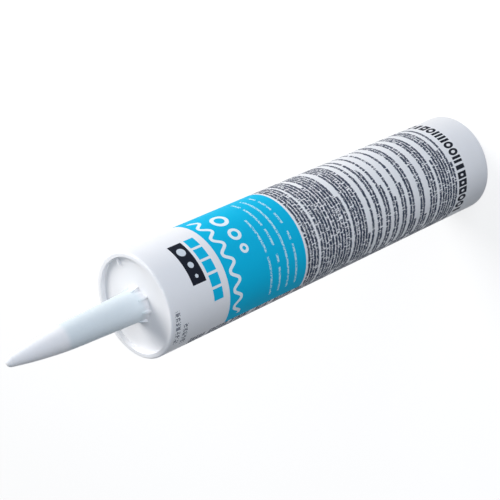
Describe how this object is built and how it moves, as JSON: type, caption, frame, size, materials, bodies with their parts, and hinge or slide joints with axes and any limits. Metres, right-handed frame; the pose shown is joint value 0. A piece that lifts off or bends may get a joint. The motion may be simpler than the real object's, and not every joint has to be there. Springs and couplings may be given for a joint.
{
  "type": "caulk tube",
  "caption": "Moulded plastic cartridge of sealant with a closed tapered nozzle in a recessed end wall, and a piston that slides up the bore from its open rear end.",
  "frame": {"origin": "centre of the open rear rim, on which the cartridge stands", "axes": "+Z along the tube from the rear rim to the nozzle tip; -Y towards the printed front"},
  "size_m": [0.05, 0.05, 0.2858],
  "materials": {
    "cartridge": "satin moulded polyethylene, printed in teal, black and grey",
    "piston": "natural polyethylene, moulded",
    "sealant": "smooth paste",
    "foil": "laminated foil"
  },
  "bodies": {
    "cartridge": {"cartridge": "cartridge", "sealant": "sealant", "inner_seal": "foil"},
    "piston": {"piston": "piston"}
  },
  "joints": [
    {"name": "piston_slide", "type": "slide", "parent": "cartridge", "child": "piston", "axis": [0, 0, 1], "range_m": [0, 0.1723], "deforming": ["sealant"]}
  ]
}
